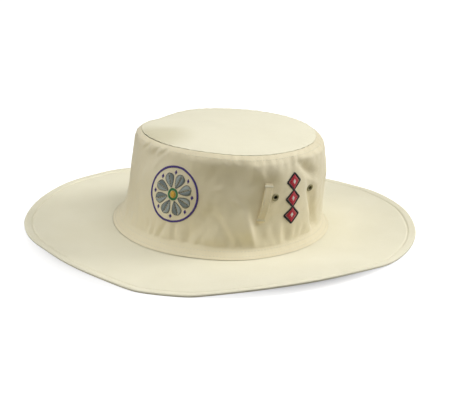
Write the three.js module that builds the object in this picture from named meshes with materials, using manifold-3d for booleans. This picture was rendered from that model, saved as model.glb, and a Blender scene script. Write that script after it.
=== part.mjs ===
// A cream cotton sun hat for field sports, at rest on its brim.
// Millimetres, +Z up. The front of the hat faces -Y and the wearer's left is towards +X.
// The origin lies on the surface that the hat rests on, under the middle of the crown.
// A turn is an angle in degrees round the crown, 0 at the front and 90 at the wearer's left.
// A height is measured up the crown's wall, from its foot to the seam of the top panel.

import * as THREE from "three";
import { mergeVertices } from "three/addons/utils/BufferGeometryUtils.js";
import Module from "manifold-3d";

const wasm = await Module();
wasm.setup();

const { clamp, lerp, smoothstep, degToRad } = THREE.MathUtils;

// The crown, for a head of about 58 cm: both outlines are ellipses, wider along the head than across it
const foot = { across: 182, along: 202 };
const top = { across: 145, along: 160, dome: 4, shiftX: 5.6, shiftY: 1.6 };
const crownHeight = 80;
const bandHeight = 10;

// Cloth, and the gap that stands for a seam
const wallCloth = 1.5;
const brimCloth = 2;
const seamGap = 0.3;
const seamAllowance = { height: 3.5, thick: 1.2 };

// The brim, with its stitched hem, and the height of its inner seam over the resting surface
const brimWidth = 74.5;
const hem = { width: 7, grooveWidth: 1.6, grooveDepth: 0.6, edgeRound: 1 };
const innerSeam = { height: 7, tiltX: -0.046, tiltY: -0.01, saddle: 1.3 };
const brimSag = 1;

// The top seam isn't quite level: its rise a millimetre along X and Y, and a dip at the wearer's right
const topSeamTilt = { x: -0.035, y: -0.033 };
const topSeamDip = { turn: -97, wide: 18, deep: 3.2 };

// How finely each piece is divided: steps round the hat, heights up the wall, distances out over the
// brim, and shares of the way out over the top panel
const roundSteps = 120;
const wallHeights = [4, bandHeight - 1, bandHeight + 3, 24, 35, 46, 56, 67, 76, crownHeight];
const brimRings = { above: [0.5, 36], below: [28, 52] };
const panelRings = { above: [0.93, 0.8, 0.55, 0.28], below: [0.45, 0.9] };

// How much of the taper from the foot's outline to the top's is reached at each height
const taper = [
  { height: 0, share: 0 },
  { height: 4, share: 0.18 },
  { height: 8, share: 0.31 },
  { height: 12, share: 0.37 },
  { height: 20, share: 0.41 },
  { height: 30, share: 0.46 },
  { height: 50, share: 0.6 },
  { height: 64, share: 0.74 },
  { height: 71, share: 0.81 },
  { height: 75.5, share: 0.87 },
  { height: 78, share: 0.92 },
  { height: crownHeight, share: 1 },
];

// How high the brim's lower edge stands off the surface at each turn.
// Below zero it is pressed flat where the hat rests.
const brimEdge = [
  { turn: 0, height: 1.6 },
  { turn: 5, height: -0.6 },
  { turn: 10, height: -1.2 },
  { turn: 16, height: -0.8 },
  { turn: 22, height: 1.4 },
  { turn: 30, height: 4.1 },
  { turn: 38, height: 5.9 },
  { turn: 46, height: 6.7 },
  { turn: 54, height: 6.9 },
  { turn: 62, height: 6.1 },
  { turn: 72, height: 4 },
  { turn: 82, height: 1 },
  { turn: 92, height: -0.5 },
  { turn: 106, height: -0.8 },
  { turn: 118, height: -0.2 },
  { turn: 130, height: 1.5 },
  { turn: 140, height: 1.9 },
  { turn: 150, height: 1.2 },
  { turn: 163, height: -0.4 },
  { turn: 182, height: -0.8 },
  { turn: 208, height: -0.8 },
  { turn: 222, height: 3 },
  { turn: 236, height: 7.8 },
  { turn: 250, height: 9.8 },
  { turn: 264, height: 10 },
  { turn: 280, height: 9.2 },
  { turn: 296, height: 8.8 },
  { turn: 310, height: 9.4 },
  { turn: 322, height: 10.6 },
  { turn: 332, height: 11.1 },
  { turn: 342, height: 8.9 },
  { turn: 351, height: 5.6 },
];

// Dents (deep over zero) and ridges (under zero) of the crown's wall. Each is centred on a turn and
// a height, reaches wide degrees and tall millimetres, and leans by slant degrees a millimetre.
const folds = [
  // the crown leans over to the wearer's left
  { turn: 110, height: 62, wide: 55, tall: 24, deep: -4.4, slant: 0 },
  { turn: -75, height: 27, wide: 50, tall: 22, deep: 3.6, slant: 0 },
  // hollow between two ridges behind the wearer's left temple
  { turn: 82.5, height: 52, wide: 5.5, tall: 24, deep: 3, slant: -0.1 },
  { turn: 76.5, height: 60, wide: 4, tall: 16, deep: -1, slant: -0.1 },
  { turn: 83, height: 24, wide: 4, tall: 13, deep: -1.6, slant: -0.2 },
  // valley and ridge that run down to the band in front of the loop
  { turn: 27.5, height: 27, wide: 4.5, tall: 14, deep: 2.4, slant: -0.26 },
  { turn: 38, height: 27, wide: 5, tall: 15, deep: -1.6, slant: -0.3 },
  { turn: 46, height: 40, wide: 6, tall: 18, deep: 1.8, slant: 0 },
  { turn: 19, height: 22, wide: 6, tall: 11, deep: -1, slant: 0 },
  // dents under the top seam
  { turn: 28, height: 69.5, wide: 15, tall: 5, deep: 2, slant: 0 },
  { turn: -22, height: 70, wide: 11, tall: 5, deep: 1.4, slant: 0.4 },
  // soft folds at the back and the wearer's right
  { turn: 128, height: 30, wide: 8, tall: 22, deep: 1.8, slant: 0.15 },
  { turn: 158, height: 52, wide: 9, tall: 20, deep: 2, slant: -0.2 },
  { turn: 196, height: 28, wide: 7, tall: 18, deep: 1.8, slant: 0.2 },
  { turn: 232, height: 50, wide: 8, tall: 22, deep: 2.2, slant: 0.15 },
  { turn: 262, height: 26, wide: 7, tall: 16, deep: 1.6, slant: -0.2 },
];

// Over what heights the folds fade out, at the band below and at the top seam
const foldFade = { intoBand: 1, overBand: 6, underSeam: 7 };

// Ventilation eyelets, and the turns at which they stand on both sides of the crown
const eyelet = {
  height: 45.5, hole: 1.6, barrel: 2.2, flange: 3.3, thick: 0.5, roll: 0.2, clear: 0.6, sides: 12,
};
const eyeletPlaces = [
  { name: "eyelet_left_front", turn: 56 },
  { name: "eyelet_left_back", turn: 83.5 },
  { name: "eyelet_right_front", turn: -77 },
  { name: "eyelet_right_back", turn: -104.5 },
];

// The band loop, a narrow strap sewn down at its two ends
const loop = {
  topTurn: 51, topHeight: 57.5, bottomTurn: 48.3, bottomHeight: 26.5,
  width: 7, tackWidth: 8.4, thick: 1.2, seat: 0.45, bow: 1.8, steps: 10,
};

// A smooth curve through a table's rows, read at one value of its key column
function curveThrough(rows, key, value, at) {
  let i = 0;
  while (i < rows.length - 2 && at > rows[i + 1][key]) i += 1;
  const before = rows[Math.max(i - 1, 0)];
  const start = rows[i];
  const end = rows[i + 1];
  const after = rows[Math.min(i + 2, rows.length - 1)];
  const step = end[key] - start[key];
  const slopeIn = (end[value] - before[value]) / (end[key] - before[key]);
  const slopeOut = (after[value] - start[value]) / (after[key] - start[key]);
  const t = clamp((at - start[key]) / step, 0, 1);
  const fromStart = (2 * t ** 3 - 3 * t ** 2 + 1) * start[value] + (3 * t ** 2 - 2 * t ** 3) * end[value];
  const fromSlopes = (t ** 3 - 2 * t ** 2 + t) * slopeIn + (t ** 3 - t ** 2) * slopeOut;
  return fromStart + fromSlopes * step;
}

// The same for the brim's edge, which closes on itself after 360 degrees
function edgeHeight(turn) {
  const shifted = [-360, 0, 360].flatMap((by) => brimEdge.map((row) => ({ ...row, turn: row.turn + by })));
  return curveThrough(shifted, "turn", "height", ((turn % 360) + 360) % 360);
}

// The difference between two turns, by the short way round
function turnBetween(a, b) {
  return ((((a - b) % 360) + 540) % 360) - 180;
}

// The unit vector that leaves an ellipse squarely at a turn
function outward(turn, across, along) {
  const angle = degToRad(turn);
  return new THREE.Vector3(along * Math.sin(angle), -across * Math.cos(angle), 0).normalize();
}

function ellipsePoint(turn, across, along) {
  const angle = degToRad(turn);
  return new THREE.Vector3((across / 2) * Math.sin(angle), (-along / 2) * Math.cos(angle), 0);
}

// Height of the inner seam over the resting surface
function innerSeamHeight(turn) {
  const point = ellipsePoint(turn, foot.across, foot.along);
  const tilt = innerSeam.tiltX * point.x + innerSeam.tiltY * point.y;
  return innerSeam.height + tilt - innerSeam.saddle * Math.cos(2 * degToRad(turn));
}

// How far the wall is dented in at one place: nothing in the stiff band and at the top seam
function dent(turn, height) {
  const overBand = smoothstep(height, bandHeight - foldFade.intoBand, bandHeight + foldFade.overBand);
  const underSeam = smoothstep(crownHeight - height, 0, foldFade.underSeam);
  const total = folds.reduce((sum, fold) => {
    const centre = fold.turn + fold.slant * (height - fold.height);
    const aside = turnBetween(turn, centre) / fold.wide;
    const above = (height - fold.height) / fold.tall;
    return sum + fold.deep * Math.exp(-aside * aside - above * above);
  }, 0);
  return total * overBand * underSeam;
}

// Height of the top seam over the resting surface, at a point of its outline
function topSeamHeight(turn, point) {
  const tilt = topSeamTilt.x * point.x + topSeamTilt.y * point.y;
  const dip = topSeamDip.deep * Math.exp(-((turnBetween(turn, topSeamDip.turn) / topSeamDip.wide) ** 2));
  return innerSeam.height + crownHeight + tilt - dip;
}

// A point on the outside of the crown's wall
function wallPoint(turn, height) {
  const share = curveThrough(taper, "height", "share", height);
  const across = lerp(foot.across, top.across, share);
  const along = lerp(foot.along, top.along, share);
  const up = height / crownHeight;
  const point = ellipsePoint(turn, across, along);
  point.z = lerp(innerSeamHeight(turn), topSeamHeight(turn, point), up);
  point.x += top.shiftX * up;
  point.y += top.shiftY * up;
  return point.addScaledVector(outward(turn, across, along), -dent(turn, height));
}

// That point with the wall's own directions there: round the crown, up the wall, and straight out
function wallFrame(turn, height) {
  const reach = 1;
  const low = clamp(height - reach, 0, crownHeight - 2 * reach);
  const round = wallPoint(turn + reach, height).sub(wallPoint(turn - reach, height)).normalize();
  const up = wallPoint(turn, low + 2 * reach).sub(wallPoint(turn, low)).normalize();
  const out = round.clone().cross(up).normalize();
  return { point: wallPoint(turn, height), round, up, out };
}

// A point inside the wall, at a depth under its outer face and raised along it
function underWall(turn, height, depth, raised = 0) {
  const frame = wallFrame(turn, height);
  return frame.point.addScaledVector(frame.out, -depth).addScaledVector(frame.up, raised);
}

// A point of the brim, so far out from the inner seam and so far down from its upper face
function brimPoint(turn, out, down) {
  const share = clamp(out / brimWidth, 0, 1);
  const low = innerSeamHeight(turn) - brimCloth;
  const sag = brimSag * Math.sin(Math.PI * share);
  const under = Math.max(lerp(low, edgeHeight(turn), share) - sag, 0);
  const point = ellipsePoint(turn, foot.across, foot.along);
  point.addScaledVector(outward(turn, foot.across, foot.along), out);
  point.z = under + brimCloth - down;
  return point;
}

// Vertices and triangles for a BufferGeometry
function geometryOf(points, triangles) {
  const geometry = new THREE.BufferGeometry();
  geometry.setAttribute("position", new THREE.Float32BufferAttribute(points.flatMap((p) => p.toArray()), 3));
  geometry.setIndex(triangles.flat());
  geometry.computeVertexNormals();
  return geometry;
}

const turns = Array.from({ length: roundSteps }, (_, i) => (i * 360) / roundSteps);

// The two triangles of each step between one ring of points and the next
function stripBetween(ringStart, nextStart) {
  return turns.flatMap((_, i) => {
    const j = (i + 1) % roundSteps;
    return [
      [ringStart + i, ringStart + j, nextStart + j],
      [ringStart + i, nextStart + j, nextStart + i],
    ];
  });
}

// A wall that closes on itself: its section is a list of functions, each giving one corner at a turn
function ringSolid(section) {
  const points = section.flatMap((corner) => turns.map((turn) => corner(turn)));
  const triangles = section.flatMap((_, k) =>
    stripBetween(k * roundSteps, ((k + 1) % section.length) * roundSteps));
  return geometryOf(points, triangles);
}

// A round panel: the same from its lower centre, out over the edge and back to its upper centre
function discSolid(lowCentre, section, highCentre) {
  const rings = section.flatMap((corner) => turns.map((turn) => corner(turn)));
  const points = [...rings, lowCentre, highCentre];
  const last = (section.length - 1) * roundSteps;
  const strips = section.slice(1).flatMap((_, k) => stripBetween(k * roundSteps, (k + 1) * roundSteps));
  const fans = turns.flatMap((_, i) => {
    const j = (i + 1) % roundSteps;
    return [
      [rings.length, j, i],
      [rings.length + 1, last + i, last + j],
    ];
  });
  return geometryOf(points, [...strips, ...fans]);
}

// A closed solid for cutting, and the geometry of the result
function toSolid(geometry) {
  const bare = geometry.clone();
  bare.deleteAttribute("normal");
  bare.deleteAttribute("uv");
  const merged = mergeVertices(bare, 1e-4);
  const mesh = new wasm.Mesh({
    numProp: 3,
    vertProperties: new Float32Array(merged.attributes.position.array),
    triVerts: new Uint32Array(merged.index.array),
  });
  return new wasm.Manifold(mesh);
}

function fromSolid(solid) {
  const mesh = solid.getMesh();
  const geometry = new THREE.BufferGeometry();
  geometry.setAttribute("position", new THREE.BufferAttribute(mesh.vertProperties, 3));
  geometry.setIndex(new THREE.BufferAttribute(mesh.triVerts, 1));
  geometry.computeVertexNormals();
  return geometry;
}

// A geometry made along +Y, turned and moved so that +Y is the wall's outward direction
function standOnWall(geometry, place) {
  const frame = wallFrame(place.turn, eyelet.height);
  const turned = new THREE.Quaternion().setFromUnitVectors(new THREE.Vector3(0, 1, 0), frame.out);
  return geometry.applyQuaternion(turned).translate(...frame.point.toArray());
}

// The crown's side: one wall from its foot to the top seam, with a hole for each eyelet
function crownSide() {
  const standing = (turn) => wallPoint(turn, 0).setZ(innerSeamHeight(turn) + seamGap);
  const standingInside = (turn) => underWall(turn, 0, wallCloth).setZ(innerSeamHeight(turn) + seamGap);
  const outside = wallHeights.map((height) => (turn) => wallPoint(turn, height));
  const inside = outside.map((_, k) => (turn) => underWall(turn, wallHeights.at(-1 - k), wallCloth));
  const wall = ringSolid([standing, ...outside, ...inside, standingInside]);
  const holeRadius = eyelet.barrel + seamGap;
  const holeLength = 8 * wallCloth;
  return fromSolid(eyeletPlaces.reduce((solid, place) => {
    const hole = new THREE.CylinderGeometry(holeRadius, holeRadius, holeLength, eyelet.sides);
    return solid.subtract(toSolid(standOnWall(hole, place)));
  }, toSolid(wall)));
}

// The top panel, let in flush with the upper rim of the side and slightly domed
function crownTop() {
  const centre = new THREE.Vector3(top.shiftX, top.shiftY, innerSeam.height + crownHeight);
  const rimAbove = (turn) => underWall(turn, crownHeight, 0, seamGap);
  const rimBelow = (turn) => underWall(turn, crownHeight, wallCloth, seamGap);
  const panel = (share, depth) => (turn) => {
    const point = centre.clone().lerp(rimAbove(turn), share);
    point.z += top.dome * (1 - share ** 2) - depth;
    return point;
  };
  const below = panelRings.below.map((share) => panel(share, wallCloth));
  const above = panelRings.above.map((share) => panel(share, 0));
  const section = [...below, rimBelow, rimAbove, ...above];
  const highCentre = centre.clone().setZ(centre.z + top.dome);
  const lowCentre = highCentre.clone().setZ(highCentre.z - wallCloth);
  return discSolid(lowCentre, section, highCentre);
}

// The brim, with the seam allowance that is turned up inside the crown and a groove along the hem
function brim() {
  const grooveMiddle = brimWidth - hem.width;
  const lipOut = wallCloth + seamGap;
  const lipIn = lipOut + seamAllowance.thick;
  const upperRings = [...brimRings.above, grooveMiddle - hem.grooveWidth / 2];
  const lowerRings = [-lipIn, ...brimRings.below, brimWidth - hem.edgeRound];
  const upper = upperRings.map((out) => (turn) => brimPoint(turn, out, 0));
  const lower = lowerRings.map((out) => (turn) => brimPoint(turn, out, brimCloth));
  return ringSolid([
    (turn) => underWall(turn, seamAllowance.height, lipIn),
    ...lower,
    (turn) => brimPoint(turn, brimWidth, brimCloth / 2),
    (turn) => brimPoint(turn, brimWidth - hem.edgeRound, 0),
    (turn) => brimPoint(turn, grooveMiddle + hem.grooveWidth / 2, 0),
    (turn) => brimPoint(turn, grooveMiddle, hem.grooveDepth),
    ...upper.reverse(),
    (turn) => brimPoint(turn, -lipOut, 0),
    (turn) => underWall(turn, seamAllowance.height, lipOut),
  ]);
}

// The band loop: a flat strap that bows away from the wall between its two sewn ends
function bandLoop() {
  const high = wallFrame(loop.topTurn, loop.topHeight);
  const low = wallFrame(loop.bottomTurn, loop.bottomHeight);
  const out = high.out.clone().add(low.out).normalize();
  const side = high.point.clone().sub(low.point).cross(out).normalize();
  const corners = [];
  for (let i = 0; i <= loop.steps; i += 1) {
    const share = i / loop.steps;
    const lift = loop.seat + loop.bow * Math.sin(Math.PI * share);
    const width = i === 0 || i === loop.steps ? loop.tackWidth : loop.width;
    const middle = high.point.clone().lerp(low.point, share).addScaledVector(out, lift);
    for (const [across, above] of [[-1, 0], [1, 0], [1, 1], [-1, 1]]) {
      const corner = middle.clone().addScaledVector(side, (across * width) / 2);
      corners.push(corner.addScaledVector(out, above * loop.thick));
    }
  }
  const triangles = [[0, 2, 1], [0, 3, 2]];
  for (let i = 0; i < loop.steps; i += 1) {
    for (let k = 0; k < 4; k += 1) {
      const here = 4 * i;
      const next = (k + 1) % 4;
      triangles.push([here + k, here + next, here + 4 + next], [here + k, here + 4 + next, here + 4 + k]);
    }
  }
  const end = 4 * loop.steps;
  triangles.push([end, end + 1, end + 2], [end, end + 2, end + 3]);
  return geometryOf(corners, triangles);
}

// One eyelet: a barrel through the wall between two flanges, the outer one rolled over
function eyeletRing(place) {
  const inner = -wallCloth - eyelet.clear;
  const profile = [
    new THREE.Vector2(eyelet.hole, inner - eyelet.thick),
    new THREE.Vector2(eyelet.flange, inner - eyelet.thick),
    new THREE.Vector2(eyelet.flange, inner),
    new THREE.Vector2(eyelet.barrel, inner),
    new THREE.Vector2(eyelet.barrel, eyelet.clear),
    new THREE.Vector2(eyelet.flange, eyelet.clear),
    new THREE.Vector2(eyelet.flange - eyelet.roll, eyelet.clear + eyelet.thick),
    new THREE.Vector2(eyelet.barrel, eyelet.clear + eyelet.thick + eyelet.roll),
    new THREE.Vector2(eyelet.hole, eyelet.clear + eyelet.thick),
  ];
  return standOnWall(new THREE.LatheGeometry([...profile, profile[0]], eyelet.sides), place);
}

const cottonTop = new THREE.MeshStandardMaterial({ color: 0xeee9d1, roughness: 0.9, metalness: 0 });
const cottonSide = new THREE.MeshStandardMaterial({ color: 0xd9d0ae, roughness: 0.9, metalness: 0 });
const cottonBrim = new THREE.MeshStandardMaterial({ color: 0xe9e5c8, roughness: 0.9, metalness: 0 });
const cottonTape = new THREE.MeshStandardMaterial({ color: 0xcfc49c, roughness: 0.9, metalness: 0 });
const dullBrass = new THREE.MeshStandardMaterial({ color: 0x9a936a, roughness: 0.5, metalness: 0.8 });

function named(name, geometry, material) {
  const mesh = new THREE.Mesh(geometry, material);
  mesh.name = name;
  return mesh;
}

const hat = new THREE.Group();
hat.add(named("crown_top", crownTop(), cottonTop));
hat.add(named("crown_side", crownSide(), cottonSide));
hat.add(named("brim", brim(), cottonBrim));
hat.add(named("band_loop", bandLoop(), cottonTape));
for (const place of eyeletPlaces) {
  hat.add(named(place.name, eyeletRing(place), dullBrass));
}

export default hat;
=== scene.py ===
# %% [markdown]
# # A cream cotton sun hat
#
# The hat is sewn from three flat pieces of cotton drill: a strip that goes round the head, a round
# panel on top of it, and a wide ring for the brim. A narrow strap and two pairs of metal eyelets
# are added to the strip. Its exact solids come first, as a frame that nothing here may move.

import math

import bmesh
import bpy
import numpy as np
from mathutils import Matrix, Vector


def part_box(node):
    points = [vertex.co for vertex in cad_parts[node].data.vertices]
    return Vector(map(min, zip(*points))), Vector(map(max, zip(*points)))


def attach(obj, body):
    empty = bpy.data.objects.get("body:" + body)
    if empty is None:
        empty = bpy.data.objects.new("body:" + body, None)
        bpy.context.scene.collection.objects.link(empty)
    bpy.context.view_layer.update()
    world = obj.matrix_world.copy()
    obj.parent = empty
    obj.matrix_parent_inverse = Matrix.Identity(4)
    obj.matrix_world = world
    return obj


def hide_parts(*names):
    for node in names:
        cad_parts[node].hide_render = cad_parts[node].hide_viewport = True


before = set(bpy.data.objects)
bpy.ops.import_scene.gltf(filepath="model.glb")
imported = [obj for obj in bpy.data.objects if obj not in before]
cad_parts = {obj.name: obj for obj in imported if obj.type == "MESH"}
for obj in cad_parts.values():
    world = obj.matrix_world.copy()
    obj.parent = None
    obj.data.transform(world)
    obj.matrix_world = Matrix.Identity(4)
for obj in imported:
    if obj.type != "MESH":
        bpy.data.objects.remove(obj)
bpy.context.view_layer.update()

# %% [markdown]
# ## The camera
#
# A long lens from well back keeps the brim's ellipse calm, as in a catalogue photograph. The angles
# were found by laying the hat's outline over the photograph's. The camera looks a little over the
# middle of the hat's foot, so that the hat stands low in the picture.

# %% Place the camera
CAMERA_TURN = math.radians(25.25)
CAMERA_RISE = math.radians(18.35)
CAMERA_ROLL = math.radians(0.79)
CAMERA_DISTANCE = 1.4
AIM_RIGHT = 0.0032
AIM_UP = 0.02346


def direction_of(turn, rise):
    """The direction from the hat to something at a turn round it and a rise over the floor."""
    return Vector((math.sin(turn) * math.cos(rise), -math.cos(turn) * math.cos(rise), math.sin(rise)))


back = direction_of(CAMERA_TURN, CAMERA_RISE)
level_right = Vector((math.cos(CAMERA_TURN), math.sin(CAMERA_TURN), 0))
level_up = back.cross(level_right)
right = level_right * math.cos(CAMERA_ROLL) + level_up * math.sin(CAMERA_ROLL)
up = level_up * math.cos(CAMERA_ROLL) - level_right * math.sin(CAMERA_ROLL)
place = back * CAMERA_DISTANCE
towards = (right * AIM_RIGHT + up * AIM_UP - place).normalized()
right = towards.cross(up).normalized()
up = right.cross(towards)

camera_data = bpy.data.cameras.new("camera")
camera_data.lens = 129.9
camera_data.sensor_width = 36
camera = bpy.data.objects.new("camera", camera_data)
camera.matrix_world = Matrix.Translation(place) @ Matrix((right, up, -towards)).transposed().to_4x4()
bpy.context.scene.collection.objects.link(camera)
bpy.context.scene.camera = camera
print("camera at", [round(v, 3) for v in place])

# %% [markdown]
# ## Where the cloth runs
#
# Everything sewn to the crown, such as a stitch, an eyelet or a loop, has to know where the cloth
# is. So the cloth's shape is a function and not a sculpted mesh: give it a turn round the head and
# a height up the wall, and it gives the point. A turn is in degrees, 0 at the front and 90 at the
# wearer's left. Lengths are millimetres, and become metres when a mesh is made. The main sizes are
# read from the frame. The cloth leaves the solids only where soft cloth would: it has settled and
# leans in a little at the front left, and its band is 7 mm high where the solid's is 10 mm.

# %% Read the main sizes from the frame
MM = 0.001


def size_of(node):
    """Width, length and height of a CAD node, in millimetres."""
    low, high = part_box(node)
    return [(b - a) / MM for a, b in zip(low, high)]


FOOT_ACROSS, FOOT_ALONG = size_of("crown_side")[:2]
BRIM_WIDTH = (size_of("brim")[0] - FOOT_ACROSS) / 2
TOP_ACROSS = 145
TOP_ALONG = 160
TOP_SHIFT = (5.6, 1.6)
CROWN_HEIGHT = 80
BAND_HEIGHT = 7
SEAM_HEIGHT = 7
WALL_CLOTH = 1.5
BRIM_CLOTH = 2
print("foot", round(FOOT_ACROSS), "by", round(FOOT_ALONG), "mm, brim", round(BRIM_WIDTH, 1), "mm wide")

# %% Smooth curves


def smoothstep(x, low, high):
    """0 below low, 1 above high, and an easy curve between."""
    t = np.clip((x - low) / (high - low), 0, 1)
    return t * t * (3 - 2 * t)


def bell(away, reach):
    """1 in the middle, and nearly 0 at twice its reach to either side."""
    return np.exp(-(away / reach) ** 2)


def curve_through(rows, key, value, at):
    """Reads a table of rows as one smooth curve, for an array of places at once."""
    keys = np.array([row[key] for row in rows], float)
    values = np.array([row[value] for row in rows], float)
    before = np.maximum(np.arange(len(rows)) - 1, 0)
    after = np.minimum(np.arange(len(rows)) + 1, len(rows) - 1)
    slopes = (values[after] - values[before]) / (keys[after] - keys[before])
    i = np.clip(np.searchsorted(keys, at, side="right") - 1, 0, len(rows) - 2)
    step = keys[i + 1] - keys[i]
    t = np.clip((at - keys[i]) / step, 0, 1)
    ends = (2 * t**3 - 3 * t**2 + 1) * values[i] + (3 * t**2 - 2 * t**3) * values[i + 1]
    bends = (t**3 - 2 * t**2 + t) * slopes[i] + (t**3 - t**2) * slopes[i + 1]
    return ends + bends * step


# %% How the crown narrows from its foot to its top
TAPER = [
    dict(height=0, share=0),
    dict(height=2, share=0.12),
    dict(height=4.2, share=0.245),
    dict(height=6.2, share=0.335),
    dict(height=8, share=0.354),
    dict(height=12, share=0.37),
    dict(height=20, share=0.41),
    dict(height=30, share=0.46),
    dict(height=50, share=0.6),
    dict(height=60, share=0.7),
    dict(height=67, share=0.745),
    dict(height=71, share=0.763),
    dict(height=73.5, share=0.774),
    dict(height=75.3, share=0.792),
    dict(height=76.7, share=0.82),
    dict(height=78, share=0.87),
    dict(height=79.2, share=0.938),
    dict(height=CROWN_HEIGHT, share=1),
]
print("the crown narrows to", TOP_ACROSS, "by", TOP_ALONG, "mm at its top")

# %% How high its two seams run
SETTLED = dict(turn=70, deep=1.7, fades_to_front=(-62, -25), fades_to_back=(25, 80))
FOOT_SLOPE = dict(across=0.046, along=0.01, saddle=1.3)
TOP_SLOPE = dict(across=0.035, along=0.033)
TOP_DIP = dict(turn=-97, reach=18, deep=3.2)


def turn_between(a, b):
    """The difference between two turns, by the short way round."""
    return (a - b + 180) % 360 - 180


def settled(turn):
    """How far the whole crown has settled at its front left, where the cloth is softest."""
    aside = turn_between(turn, SETTLED["turn"])
    from_front = smoothstep(aside, *SETTLED["fades_to_front"])
    return SETTLED["deep"] * from_front * (1 - smoothstep(aside, *SETTLED["fades_to_back"]))


def oval(across, along, turn):
    """Where an oval of that width and length is at a turn: x to the wearer's left, y to the back."""
    angle = np.radians(turn)
    return across / 2 * np.sin(angle), -along / 2 * np.cos(angle)


def inner_seam_height(turn):
    """Height of the seam between crown and brim over the floor: it isn't quite level."""
    x, y = oval(FOOT_ACROSS, FOOT_ALONG, turn)
    level = SEAM_HEIGHT - FOOT_SLOPE["across"] * x - FOOT_SLOPE["along"] * y
    return level - FOOT_SLOPE["saddle"] * np.cos(2 * np.radians(turn)) - settled(turn)


def top_seam_height(turn, x, y):
    """Height of the seam of the top panel, which dips at the wearer's right."""
    dip = TOP_DIP["deep"] * bell(turn_between(turn, TOP_DIP["turn"]), TOP_DIP["reach"])
    level = SEAM_HEIGHT + CROWN_HEIGHT - TOP_SLOPE["across"] * x - TOP_SLOPE["along"] * y
    return level - dip - settled(turn)


seam_heights = inner_seam_height(np.arange(360))
print("inner seam", round(seam_heights.min(), 1), "to", round(seam_heights.max(), 1), "mm over the floor")

# %% [markdown]
# ## Folds
#
# Unstiffened drill never stands as a clean cone. It was folded in a bag, pulled on by its brim, and
# gathered a little by every row of stitches. Each fold here is one soft push on the wall: at a turn
# and a height, so many degrees wide before and after that turn and so many millimetres tall, how
# deep it is, and how far it leans as it goes up. Deep over zero is a dent and under zero a ridge. A
# cloth simulation would make other folds at every try, while these can be set one by one.

# %% The large folds of the wall
LARGE_FOLDS = [
    # the crown leans over to the wearer's left
    dict(at=(110, 62), wide=(55, 55), tall=24, deep=-4.4),
    dict(at=(-75, 27), wide=(50, 50), tall=22, deep=3.6),
    # hollow behind the wearer's left temple, and the crease over it
    dict(at=(89, 24), wide=(2.6, 5), tall=26, deep=4.6, slant=-0.25),
    dict(at=(81, 63), wide=(3.5, 6.5), tall=9, deep=3.2, slant=-0.87),
    # in front of the loop: a valley and bulges that run down to the band, with hollows over them
    dict(at=(29.5, 19), wide=(2.8, 2), tall=13, deep=1.7, slant=-0.4),
    dict(at=(43, 22), wide=(6.5, 1.8), tall=11, deep=-2.6, slant=-0.2),
    dict(at=(20, 20), wide=(6, 4), tall=11, deep=-0.8),
    dict(at=(52, 26), wide=(6.5, 16), tall=10, deep=3.2),
    dict(at=(20, 29), wide=(9, 8), tall=10, deep=2.8),
    # under the top seam: two shallow dents at the front, and full cloth on their left
    dict(at=(25, 61), wide=(16, 13), tall=9, deep=1.1),
    dict(at=(42, 70), wide=(3, 6), tall=9, deep=-1.3),
    dict(at=(54, 66), wide=(13, 12), tall=7, deep=-2.4),
    dict(at=(-22, 70), wide=(11, 11), tall=5, deep=1.1, slant=0.4),
    # soft folds at the back and the wearer's right
    dict(at=(128, 30), wide=(8, 8), tall=22, deep=1.8, slant=0.15),
    dict(at=(158, 52), wide=(9, 9), tall=20, deep=2, slant=-0.2),
    dict(at=(196, 28), wide=(7, 7), tall=18, deep=1.8, slant=0.2),
    dict(at=(232, 50), wide=(8, 8), tall=22, deep=2.2, slant=0.15),
    dict(at=(262, 26), wide=(7, 7), tall=16, deep=1.6, slant=-0.2),
]
print("large folds:", len(LARGE_FOLDS))

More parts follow.
